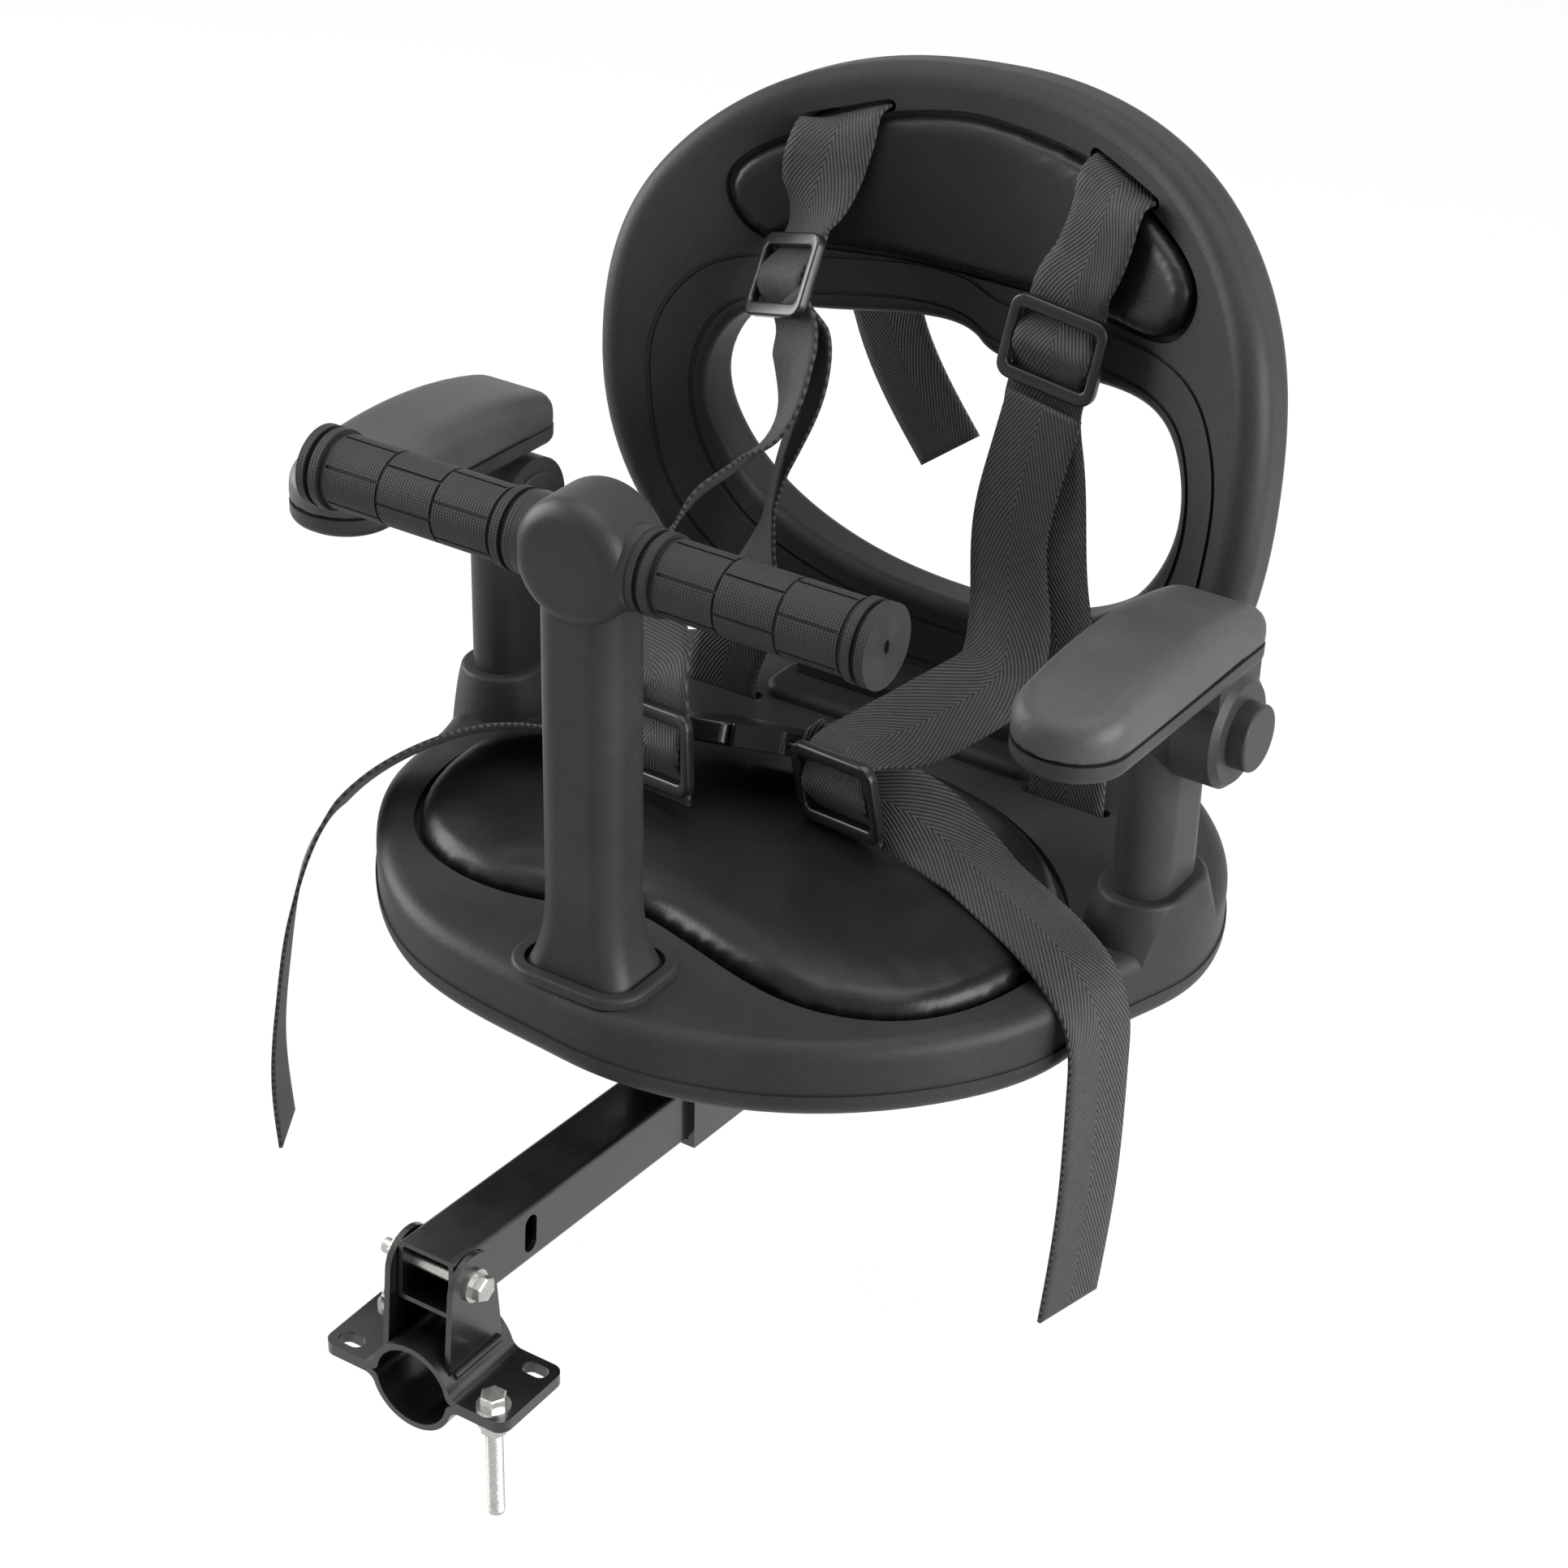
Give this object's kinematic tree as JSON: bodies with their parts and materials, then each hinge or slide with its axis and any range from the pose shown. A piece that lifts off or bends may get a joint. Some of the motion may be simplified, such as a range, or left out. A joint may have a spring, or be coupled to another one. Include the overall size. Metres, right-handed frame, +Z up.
{
  "type": "child_bicycle_seat",
  "caption": "Front-mounted child's bicycle seat in black foam with handlebar, swing-up armrests, harness and a crossbar clamp on a square steel arm",
  "frame": {"origin": "middle of the crossbar clamp's bore", "axes": "+X across the seat to the viewer's right when facing it, +Y rearwards along the clamped tube to the backrest, +Z up"},
  "size_m": [0.3804, 0.4162, 0.4379],
  "materials": {
    "black_steel": "gloss black enamel",
    "zinc_steel": "bright zinc plate",
    "bar_steel": "plain drawn steel",
    "black_plastic": "fine grained moulding",
    "moulded_foam": "integral skin foam, satin",
    "armrest_foam": "soft integral skin foam",
    "pad_skin": "smooth satin pad skin",
    "grip_rubber": "hatched rubber",
    "webbing": "herringbone polyester webbing",
    "buckle_plastic": "semi-gloss acetal"
  },
  "bodies": {
    "clamp": {"clamp_upper_plate": "black_steel", "clamp_lower_plate": "black_steel", "clamp_bolts": "zinc_steel", "clamp_nuts": "zinc_steel", "pivot_bolt": "zinc_steel", "pivot_nut": "zinc_steel"},
    "seat": {"square_tube": "black_steel", "tube_end_plug": "black_plastic", "carrier_bracket": "black_steel", "tube_bolts": "zinc_steel", "tube_nuts": "zinc_steel", "carrier_bolts": "zinc_steel", "seat_board": "moulded_foam", "seat_pad": "pad_skin", "upright_bolts": "zinc_steel", "backrest": "moulded_foam", "back_pad": "pad_skin", "handlebar_post": "black_plastic", "hub_front_shell": "black_plastic", "hub_rear_shell": "black_plastic", "hub_screws": "zinc_steel", "handlebar": "bar_steel", "left_grip": "grip_rubber", "right_grip": "grip_rubber", "left_shoulder_strap": "webbing", "right_shoulder_strap": "webbing", "left_lap_strap": "webbing", "right_lap_strap": "webbing", "left_lap_tail": "webbing", "right_lap_tail": "webbing", "left_buckle_strap": "webbing", "right_buckle_strap": "webbing", "left_shoulder_slider": "buckle_plastic", "right_shoulder_slider": "buckle_plastic", "left_waist_slider": "buckle_plastic", "right_waist_slider": "buckle_plastic", "buckle_socket": "buckle_plastic", "buckle_plug": "buckle_plastic", "left_upright": "black_plastic", "left_pivot_cover": "black_plastic", "left_pivot_pin": "bar_steel", "left_stop_pin": "bar_steel", "right_upright": "black_plastic", "right_pivot_cover": "black_plastic", "right_pivot_pin": "bar_steel", "right_stop_pin": "bar_steel"},
    "left_armrest": {"left_armrest_base": "black_plastic", "left_armrest_pad": "armrest_foam", "left_pivot_cap": "black_plastic"},
    "right_armrest": {"right_armrest_base": "black_plastic", "right_armrest_pad": "armrest_foam", "right_pivot_cap": "black_plastic"}
  },
  "joints": [
    {"name": "arm_tilt", "type": "hinge", "parent": "clamp", "child": "seat", "pos_m": [0, 0, 0.0424], "axis": [1, 0, 0], "range_deg": [-15, 15]},
    {"name": "left_armrest_lift", "type": "hinge", "parent": "seat", "child": "left_armrest", "pos_m": [-0.1738, 0.247, 0.2122], "axis": [-1, 0, 0], "range_deg": [0, 85]},
    {"name": "right_armrest_lift", "type": "hinge", "parent": "seat", "child": "right_armrest", "pos_m": [0.1738, 0.247, 0.2122], "axis": [-1, 0, 0], "range_deg": [0, 85]}
  ]
}
